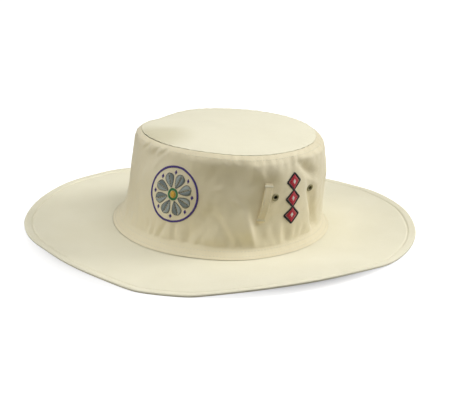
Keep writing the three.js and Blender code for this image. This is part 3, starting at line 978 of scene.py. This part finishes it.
def eyelet_outline():
    """Half of the eyelet's section, as (radius, height over the cloth) pairs."""
    roll_middle = (EYELET["bore"] + EYELET["flange"]) / 2
    roll_reach = (EYELET["flange"] - EYELET["bore"]) / 2
    top = [
        (roll_middle + roll_reach * math.cos(a), EYELET["roll_height"] + EYELET["roll"] * math.sin(a))
        for a in np.linspace(-0.35, math.pi, 14)
    ]
    washer = -WALL_CLOTH - EYELET["washer_gap"]
    return top + [
        (EYELET["bore"], washer - EYELET["washer"]),
        (EYELET["flange"] - EYELET["bevel"], washer - EYELET["washer"]),
        (EYELET["flange"], washer - EYELET["washer"] / 2),
        (EYELET["flange"] - EYELET["bevel"], washer),
        (BARREL_RADIUS, washer),
        (BARREL_RADIUS, 0.05),
    ]


def spin_eyelet(name, turn):
    angles = full_circle(EYELET_SIDES)
    rows = np.stack([
        np.stack([radius * np.cos(angles), radius * np.sin(angles), np.full(EYELET_SIDES, z)], axis=-1)
        for radius, z in eyelet_outline()])
    piece = skin(name, rows, from_above(rows), closed=True)
    piece.data.transform(eyelet_seat(turn))
    return facing_out(piece)


eyelets = {name: spin_eyelet(name + "_ring", turn) for name, turn in EYELET_TURNS.items()}

# %% [markdown]
# ## The emblem and the side mark
#
# Both are satin stitch: threads laid side by side across a narrow shape, so that each shape shines
# along its own direction. A thread is placed in millimetres on the flat cloth, aside and up, and
# the wall's own function bends it round the crown.

# %% Put flat threads on the wall
# the wall's radius where the embroidery is, as a share of the foot's width and length
EMBROIDERY_RADIUS = 0.44


def on_wall(centre, flat_points, over):
    """Wall points for flat (aside, up) millimetres round a centre."""
    angle = math.radians(centre["turn"])
    per_radian = np.hypot(
        FOOT_ACROSS * EMBROIDERY_RADIUS * math.cos(angle),
        FOOT_ALONG * EMBROIDERY_RADIUS * math.sin(angle))
    turn = centre["turn"] + np.degrees(flat_points[..., 0] / per_radian)
    point, _, out = wall_frame(turn, centre["height"] + flat_points[..., 1])
    return point + out * over, out


def satin(name, centre, starts, ends, width=0.5, over=0.05):
    """Threads from flat start points to flat end points, laid on the wall round a centre."""
    share = np.linspace(0, 1, THREAD_STEPS)[None, :, None]
    flat_paths = starts[:, None, :] * (1 - share) + ends[:, None, :] * share
    points, outs = on_wall(centre, flat_paths, over)
    return threads(name, points, outs, width, sink=0.15)


# %% Threads for rings, lozenges and lines
THREAD_PITCH = 0.42
LINE_STITCH = 1.9


def ring_threads(inner, outer):
    """Threads that stand like spokes between two circles."""
    angles = full_circle(int(2 * math.pi * outer / THREAD_PITCH))
    ray = np.stack([np.cos(angles), np.sin(angles)], axis=1)
    return ray * inner, ray * outer


def lozenge_threads(middle, tall, wide):
    """Level threads that fill one upright lozenge."""
    up_to = np.linspace(-tall / 2 + 0.3, tall / 2 - 0.3, int(tall / THREAD_PITCH))
    half = wide / 2 * (1 - np.abs(up_to) / (tall / 2))
    start = np.stack([-half, up_to], axis=1) + middle
    return start, np.stack([half, up_to], axis=1) + middle


def line_threads(start, end):
    """Short threads one after another along a line."""
    count = max(int(np.linalg.norm(end - start) / LINE_STITCH), 1)
    points = start + np.linspace(0, 1, count + 1)[:, None] * (end - start)
    return points[:-1], points[1:]


def joined(pairs):
    """Several lists of threads as one."""
    return [np.concatenate(side) for side in zip(*pairs)]


# %% Threads for petals
PETAL_SLANT = 0.45
EDGE_STEPS = 14


def axes_of(angle):
    """The directions along a ray of the emblem, and across it."""
    return np.array([math.cos(angle), math.sin(angle)]), np.array([-math.sin(angle), math.cos(angle)])


def petal_width(share, half_width):
    """Half the width of a petal, at a share of the way from its foot to its tip."""
    return half_width * np.sin(math.pi * share**1.15) ** 0.8


def petal_threads(angle, near, far, half_width, side):
    """Slanting threads over one half of a petal, from its middle line to its edge."""
    along, across = axes_of(angle)
    reach = np.linspace(near, far, int((far - near) / THREAD_PITCH))
    width = side * (petal_width((reach - near) / (far - near), half_width) + 0.15)
    slanted = reach + PETAL_SLANT * np.abs(width)
    middle = reach[:, None] * along + side * 0.3 * across
    return middle, slanted[:, None] * along + width[:, None] * across


def outline_threads(angle, near, far, half_width, side):
    """A line of threads along one edge of a petal."""
    along, across = axes_of(angle)
    reach = np.linspace(near, far + 0.5, EDGE_STEPS)
    width = petal_width(np.clip((reach - near) / (far - near), 0, 1), half_width) + 0.3
    points = (reach + PETAL_SLANT * width)[:, None] * along + (side * width)[:, None] * across
    return points[:-1], points[1:]


# %% Draw the emblem: a rosette of eight petals in a ring
EMBLEM = dict(turn=-4, height=44.5)
RING = dict(inner=20.6, outer=22.5)
COLLAR = dict(inner=3, outer=5)
PETAL = dict(near=5.4, far=16.6, half_width=3.7)
VEIN = dict(near=5.6, far=15.5)
BEAD = dict(tall=3.6, wide=3)
BEAD_REACH = 17.2
DISC = dict(wide=2.9, tall=2.8)
EIGHTHS = [math.radians(22.5 + 45 * k) for k in range(8)]

light_halves = [petal_threads(angle, **PETAL, side=1) for angle in EIGHTHS]
dark_halves = [petal_threads(angle, **PETAL, side=-1) for angle in EIGHTHS]
edges = [outline_threads(angle, **PETAL, side=side) for angle in EIGHTHS for side in (1, -1)]
rays = [axes_of(angle)[0] for angle in EIGHTHS]
veins = [line_threads(ray * VEIN["near"], ray * VEIN["far"]) for ray in rays]
beads = [lozenge_threads(axes_of(angle + math.pi / 8)[0] * BEAD_REACH, **BEAD) for angle in EIGHTHS]
disc_rows = np.linspace(-1, 1, 15)
disc_half = DISC["wide"] * np.sqrt(np.clip(1 - disc_rows**2, 0.02, 1))
disc = [np.stack([side * disc_half, disc_rows * DISC["tall"]], axis=1) for side in (-1, 1)]

emblem = dict(
    violet=[
        satin("emblem_ring", EMBLEM, *ring_threads(**RING), width=0.55),
        satin("emblem_beads", EMBLEM, *joined(beads)),
    ],
    pale_grey=[satin("emblem_petals_light", EMBLEM, *joined(light_halves))],
    grey=[satin("emblem_petals_dark", EMBLEM, *joined(dark_halves))],
    dark_grey=[satin("emblem_lines", EMBLEM, *joined(edges + veins), width=0.45, over=0.15)],
    green=[satin("emblem_collar", EMBLEM, *ring_threads(**COLLAR), over=0.1)],
    gold=[satin("emblem_middle", EMBLEM, *disc, over=0.2)],
)

# %% Draw the side mark: a chain of three lozenges
SIDE_MARK = dict(turn=69.3, height=43.2)
LOZENGE = dict(tall=13.9, wide=15)
LOZENGE_EDGE = 1.9
LOZENGE_EYE = dict(tall=4.2, wide=3.8)
FILL_MARGIN = 1.4


def edge_threads(middle, tall, wide):
    """Short threads across the four sides of a lozenge."""
    pairs = []
    corners = np.array([(0, tall / 2), (wide / 2, 0), (0, -tall / 2), (-wide / 2, 0)])
    for a, b in zip(corners, np.roll(corners, -1, axis=0)):
        share = np.linspace(0, 1, int(np.linalg.norm(b - a) / THREAD_PITCH))[:, None]
        line = a * (1 - share) + b * share + middle
        across = unit(np.array([(b - a)[1], -(b - a)[0]])) * LOZENGE_EDGE / 2
        pairs.append((line - across, line + across))
    return joined(pairs)


filled = {key: size - FILL_MARGIN for key, size in LOZENGE.items()}
middles = [np.array([0, LOZENGE["tall"] * k]) for k in (-1, 0, 1)]
fills = [lozenge_threads(middle, **filled) for middle in middles]
borders = [edge_threads(middle, **LOZENGE) for middle in middles]
eyes = [lozenge_threads(middle, **LOZENGE_EYE) for middle in middles]
side_mark = dict(
    red=[satin("side_mark_fill", SIDE_MARK, *joined(fills))],
    black=[satin("side_mark_edge", SIDE_MARK, *joined(borders), over=0.12)],
    white=[satin("side_mark_eyes", SIDE_MARK, *joined(eyes), over=0.3)],
)

# %% [markdown]
# ## Cotton
#
# Drill is a twill: its surface is fine slanting ridges, a little over half a millimetre apart here,
# with threads that vary in thickness. The colour isn't even either. It is mottled over a few
# centimetres, as washed cotton is. The tone also paints shade: a little into the weave's hollows,
# and a yellowish darkening wherever a material asks for it. Both effects are node groups, built
# once, so that the wall, the brim, the top and the loop can each use them with values of their own.

# %% Helpers for nodes


def new_group(name, inputs, outputs):
    """An empty shader node group with named sockets. Each input's default gives its kind."""
    tree = bpy.data.node_groups.new(name, "ShaderNodeTree")
    for socket, default in inputs.items():
        kind = "NodeSocketColor" if isinstance(default, tuple) else "NodeSocketFloat"
        made = tree.interface.new_socket(socket, in_out="INPUT", socket_type=kind)
        made.default_value = default
    for socket, kind in outputs.items():
        tree.interface.new_socket(socket, in_out="OUTPUT", socket_type=kind)
    return tree, tree.nodes.new("NodeGroupInput"), tree.nodes.new("NodeGroupOutput")


def put(tree, kind, values=None, **settings):
    """Adds a node, sets its properties, and sets or links its inputs."""
    made = tree.nodes.new("ShaderNode" + kind)
    for key, value in settings.items():
        setattr(made, key, value)
    for key, value in (values or {}).items():
        if isinstance(value, bpy.types.NodeSocket):
            tree.links.new(value, made.inputs[key])
        else:
            made.inputs[key].default_value = value
    return made


def calc(tree, operation, *values):
    """A maths node, as the socket with its result."""
    return put(tree, "Math", dict(enumerate(values)), operation=operation).outputs[0]


def blended(tree, share, first, second, **settings):
    """A mix of two colours, as the socket with its result."""
    values = {"Factor": share, 6: first, 7: second}
    return put(tree, "Mix", values, data_type="RGBA", **settings).outputs[2]


def object_place(tree):
    return put(tree, "TexCoord").outputs["Object"]


def empty_material(name):
    material = bpy.data.materials.new(name)
    material.use_nodes = True
    material.node_tree.nodes.clear()
    return material, material.node_tree


def finish_with(tree, values):
    """Ends a material's nodes with one Principled shader that has these values."""
    shader = put(tree, "BsdfPrincipled", values)
    put(tree, "OutputMaterial", {"Surface": shader.outputs[0]})


# %% The weave of drill
DRILL_RIDGES = 1150.0
RIDGE_SHARE = 0.38
CROSS_SHARE = 0.12


def drill_group():
    tree, given, result = new_group(
        "drill_weave", dict(Ridges=DRILL_RIDGES, Unevenness=0.35), dict(Height="NodeSocketFloat"))
    place = put(tree, "TexCoord").outputs["UV"]
    wander = put(tree, "TexNoise", {"Vector": place, "Scale": 240.0, "Detail": 2.0}).outputs["Fac"]
    split = put(tree, "SeparateXYZ", {0: place})
    slant = calc(tree, "ADD", split.outputs[0], split.outputs[1])
    shift = calc(tree, "MULTIPLY", calc(tree, "SUBTRACT", wander, 0.5), given.outputs["Unevenness"])
    ridge = calc(tree, "ADD", calc(tree, "MULTIPLY", slant, given.outputs["Ridges"]), shift)
    wave = calc(tree, "SINE", calc(tree, "MULTIPLY", ridge, 2 * math.pi))
    across = calc(tree, "MULTIPLY", split.outputs[0], given.outputs["Ridges"])
    cross = calc(tree, "SINE", calc(tree, "MULTIPLY", across, 4 * math.pi))
    height = calc(tree, "MULTIPLY_ADD", cross, CROSS_SHARE, 0.5)
    height = calc(tree, "MULTIPLY_ADD", wave, RIDGE_SHARE, height)
    tree.links.new(height, result.inputs["Height"])
    return tree


DRILL = drill_group()
print("drill ridges", round(1 / MM / DRILL_RIDGES / math.sqrt(2), 2), "mm apart")

# %% The mottled tone of washed cotton, and painted shade
FLECK_SHARE = 0.35
WEAVE_SHADE = 0.3
MIDDLE_TONE = 0.35
PAINTED_SHADE_TINT = (0.8, 0.78, 0.7, 1.0)


def tone_group():
    tree, given, result = new_group(
        "washed_tone_and_painted_shade",
        dict(Light=(1.0, 1.0, 1.0, 1.0), Shade=(0.5, 0.5, 0.5, 1.0), Weave=0.5, Patches=28.0, Contrast=0.5,
             PaintedShade=0.0),
        dict(Color="NodeSocketColor"))
    place = object_place(tree)
    patches = put(tree, "TexNoise", {
        "Vector": place, "Scale": given.outputs["Patches"], "Detail": 3.0, "Roughness": 0.55})
    flecks = put(tree, "TexNoise", {"Vector": place, "Scale": 900.0, "Detail": 1.0})
    even = calc(tree, "SUBTRACT", patches.outputs["Fac"], 0.5)
    spread = calc(tree, "MULTIPLY", even, given.outputs["Contrast"])
    spread = calc(tree, "MULTIPLY_ADD", spread, 2.0, MIDDLE_TONE)
    fleck = calc(tree, "SUBTRACT", flecks.outputs["Fac"], 0.5)
    fleck = calc(tree, "MULTIPLY_ADD", fleck, FLECK_SHARE, spread)
    # painted shade: the weave's hollows are painted a little darker
    hollow = calc(tree, "SUBTRACT", 0.5, given.outputs["Weave"])
    woven = calc(tree, "MULTIPLY_ADD", hollow, WEAVE_SHADE, fleck)
    mottled_tone = blended(tree, woven, given.outputs["Light"], given.outputs["Shade"])
    # painted shade: a yellowish tint darkens the colour as far as the material asks
    with_painted_shade = blended(tree, given.outputs["PaintedShade"], mottled_tone, PAINTED_SHADE_TINT, blend_type="MULTIPLY")
    tree.links.new(with_painted_shade, result.inputs["Color"])
    return tree


TONE = tone_group()
print(TONE.name, "is made of", len(TONE.nodes), "nodes")

# %% Cotton materials


def linear(*srgb):
    """A colour as seen on a screen, 0 to 255, as Blender's linear values."""
    return tuple(((v / 255 + 0.055) / 1.055) ** 2.4 if v > 10 else v / 255 / 12.92 for v in srgb) + (1.0,)


def cotton(name, light, shade, ridges=DRILL_RIDGES, contrast=0.5, fuzz=0.12, painted_shade=None):
    """Drill in two tones, with painted shade round a given place, over a reach, in metres."""
    material, tree = empty_material(name)
    weave = put(tree, "Group", {"Ridges": ridges}, node_tree=DRILL).outputs["Height"]
    tone = put(tree, "Group", {
        "Light": linear(*light), "Shade": linear(*shade), "Contrast": contrast, "Weave": weave},
        node_tree=TONE)
    if painted_shade:
        away = put(tree, "VectorMath", {0: object_place(tree), 1: painted_shade["place"]}, operation="DISTANCE")
        fade = put(tree, "MapRange", {
            "Value": away.outputs["Value"], "From Min": painted_shade["reach"], "From Max": 0.3 * painted_shade["reach"],
            "To Max": painted_shade["strength"]}, interpolation_type="SMOOTHSTEP")
        tree.links.new(fade.outputs["Result"], tone.inputs["PaintedShade"])
    relief = put(tree, "Bump", {"Height": weave, "Strength": 0.35, "Distance": 0.0003})
    finish_with(tree, {
        "Base Color": tone.outputs["Color"], "Normal": relief.outputs["Normal"], "Roughness": 0.88,
        "Specular IOR Level": 0.25, "Sheen Weight": fuzz, "Sheen Roughness": 0.5})
    return material


# painted shade where the top's front, towards the wearer's right, bends down to its seam
PAINTED_SHADE_TOP = dict(place=(-0.034, -0.062, 0.088), reach=0.042, strength=0.9)
# painted shade on the front of the wall, which faces away from the lights
PAINTED_SHADE_FRONT = dict(place=(0.022, -0.085, 0.06), reach=0.04, strength=0.3)
# painted light and shade: one drill, painted paler on the lit top and brim, and deeper and yellower on the
# shaded wall and loop
TOP_COTTON = cotton("top_cotton", (242, 237, 212), (234, 228, 201), painted_shade=PAINTED_SHADE_TOP)
SIDE_COTTON = cotton(
    "side_cotton", (243, 233, 201), (233, 221, 184), contrast=0.6, fuzz=0.4, painted_shade=PAINTED_SHADE_FRONT)
BRIM_COTTON = cotton("brim_cotton", (239, 234, 210), (230, 224, 196))
LOOP_COTTON = cotton("loop_cotton", (243, 231, 195), (230, 216, 176), ridges=1500.0)
print("cotton:", [cloth.name for cloth in (TOP_COTTON, SIDE_COTTON, BRIM_COTTON, LOOP_COTTON)])

# %% [markdown]
# ## Thread and brass
#
# Thread is shinier than drill, because its fibres lie side by side. Its material uses the same
# mottled tone with far smaller patches, so that neighbouring threads differ a little. The eyelets
# are brass that has gone dull and olive. Where such metal is darker it is rougher too, so one noise
# gives both, and its small bumps besides.

# %% Thread


def thread_material(name, light, shade):
    """Shiny thread, with a little difference from one part to the next."""
    material, tree = empty_material(name)
    tone = put(tree, "Group", {"Light": linear(*light), "Shade": linear(*shade), "Patches": 600.0},
               node_tree=TONE)
    finish_with(tree, {
        "Base Color": tone.outputs["Color"], "Roughness": 0.5, "Specular IOR Level": 0.4,
        "Sheen Weight": 0.1})
    return material


SEWING_THREAD = thread_material("sewing_thread", (238, 232, 208), (226, 218, 190))
THREAD_TONES = dict(
    violet=dict(light=(88, 70, 142), shade=(66, 50, 112)),
    pale_grey=dict(light=(180, 188, 184), shade=(158, 168, 164)),
    grey=dict(light=(148, 158, 156), shade=(126, 136, 134)),
    dark_grey=dict(light=(84, 88, 88), shade=(60, 64, 64)),
    green=dict(light=(70, 140, 84), shade=(46, 112, 62)),
    gold=dict(light=(226, 184, 70), shade=(200, 156, 50)),
    red=dict(light=(206, 34, 58), shade=(178, 22, 44)),
    black=dict(light=(46, 42, 44), shade=(30, 28, 30)),
    white=dict(light=(238, 236, 230), shade=(220, 216, 208)),
)
THREADS = {colour: thread_material(colour + "_thread", **tones) for colour, tones in THREAD_TONES.items()}
print("embroidery threads:", ", ".join(THREADS))

# %% Dull brass


def brass_material():
    """Brass gone dull and olive, with darker and rougher spots."""
    material, tree = empty_material("dull_brass")
    noise = put(tree, "TexNoise", {"Vector": object_place(tree), "Scale": 900.0, "Detail": 4.0})
    spots = noise.outputs["Fac"]
    relief = put(tree, "Bump", {"Height": spots, "Strength": 0.15, "Distance": 0.0002})
    finish_with(tree, {
        "Base Color": blended(tree, spots, linear(176, 170, 138), linear(146, 139, 106)),
        "Roughness": calc(tree, "MULTIPLY_ADD", spots, 0.35, 0.3),
        "Metallic": 0.75, "Normal": relief.outputs["Normal"]})
    return material


DULL_BRASS = brass_material()
print(DULL_BRASS.name, "is made of", len(DULL_BRASS.node_tree.nodes), "nodes")

# %% [markdown]
# ## Dress the pieces
#
# Each piece gets its material, rides on the hat's one body, and hides the solid it stands for.

# %% Give out materials and bodies, and hide the solids


def dress(piece, material, stands_for=None):
    piece.data.materials.clear()
    piece.data.materials.append(material)
    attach(piece, "root")
    if stands_for:
        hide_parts(stands_for)


dress(crown_side, SIDE_COTTON, "crown_side")
dress(crown_top, TOP_COTTON, "crown_top")
dress(brim_cloth, BRIM_COTTON, "brim")
dress(band_loop, LOOP_COTTON, "band_loop")
for piece in [*rows_of_stitches, *loop_sewing]:
    dress(piece, SEWING_THREAD)
for name, ring in eyelets.items():
    dress(ring, DULL_BRASS, name)
embroidery = [*emblem.items(), *side_mark.items()]
for colour, pieces in embroidery:
    for piece in pieces:
        dress(piece, THREADS[colour])
print("embroidered pieces:", sum(len(pieces) for _, pieces in embroidery))

# %% [markdown]
# ## Floor and light
#
# The hat stands on a white sweep. A large round light overhead makes the top and the brim bright, a
# smaller low one behind the wearer's left draws the folds, and a weak one from the front right fills
# the shadow side. Away from the hat the floor glows and the world is white, but only as the camera
# sees them, so the background is plain white and yet throws no light on the hat.

# %% Lay the floor
FLOOR_REACH = 4
GLOW = dict(starts=0.135, full=0.17, strength=0.9)

floor_corners = [(x * FLOOR_REACH, y * FLOOR_REACH, 0) for x, y in ((-1, -1), (1, -1), (1, 1), (-1, 1))]
floor_mesh = bpy.data.meshes.new("floor")
floor_mesh.from_pydata(floor_corners, [], [(0, 1, 2, 3)])
floor = add_object("floor", floor_mesh)
floor_material, floor_tree = empty_material("white_sweep")
seen = put(floor_tree, "LightPath").outputs["Is Camera Ray"]
from_middle = put(floor_tree, "VectorMath", {0: object_place(floor_tree)}, operation="LENGTH")
outside = put(floor_tree, "MapRange", {
    "Value": from_middle.outputs["Value"], "From Min": GLOW["starts"], "From Max": GLOW["full"],
    "To Max": GLOW["strength"]}, interpolation_type="SMOOTHSTEP")
finish_with(floor_tree, {
    "Base Color": (0.34, 0.33, 0.31, 1), "Roughness": 0.9, "Emission Color": (1, 1, 1, 1),
    "Emission Strength": calc(floor_tree, "MULTIPLY", seen, outside.outputs["Result"])})
floor_mesh.materials.append(floor_material)
print("floor", 2 * FLOOR_REACH, "m across")

# %% Hang the lights
LIGHT_DISTANCE = 1.8
LIT_POINT = Vector((0, 0, 0.05))


def soft_light(name, turn, rise, size, watts):
    """A round area light that looks at the hat's middle, from a turn and a rise in degrees."""
    direction = direction_of(math.radians(turn), math.radians(rise))
    data = bpy.data.lights.new(name, "AREA")
    data.shape = "DISK"
    data.size = size
    data.energy = watts
    light = bpy.data.objects.new(name, data)
    light.location = direction * LIGHT_DISTANCE + LIT_POINT
    light.rotation_euler = direction.to_track_quat("Z", "Y").to_euler()
    bpy.context.scene.collection.objects.link(light)


soft_light("overhead", turn=92, rise=78, size=2.0, watts=28.5)
soft_light("key", turn=130, rise=25, size=0.8, watts=17)
soft_light("fill", turn=-43, rise=23, size=1.1, watts=12.5)

world = bpy.data.worlds.new("studio")
world.use_nodes = True
background = world.node_tree.nodes["Background"]
background.inputs["Color"].default_value = (1, 1, 1, 1)
seen_directly = put(world.node_tree, "LightPath").outputs["Is Camera Ray"]
world.node_tree.links.new(seen_directly, background.inputs["Strength"])
bpy.context.scene.world = world
bpy.context.scene.view_settings.view_transform = "Standard"
print("lights:", [lamp.name for lamp in bpy.data.lights])
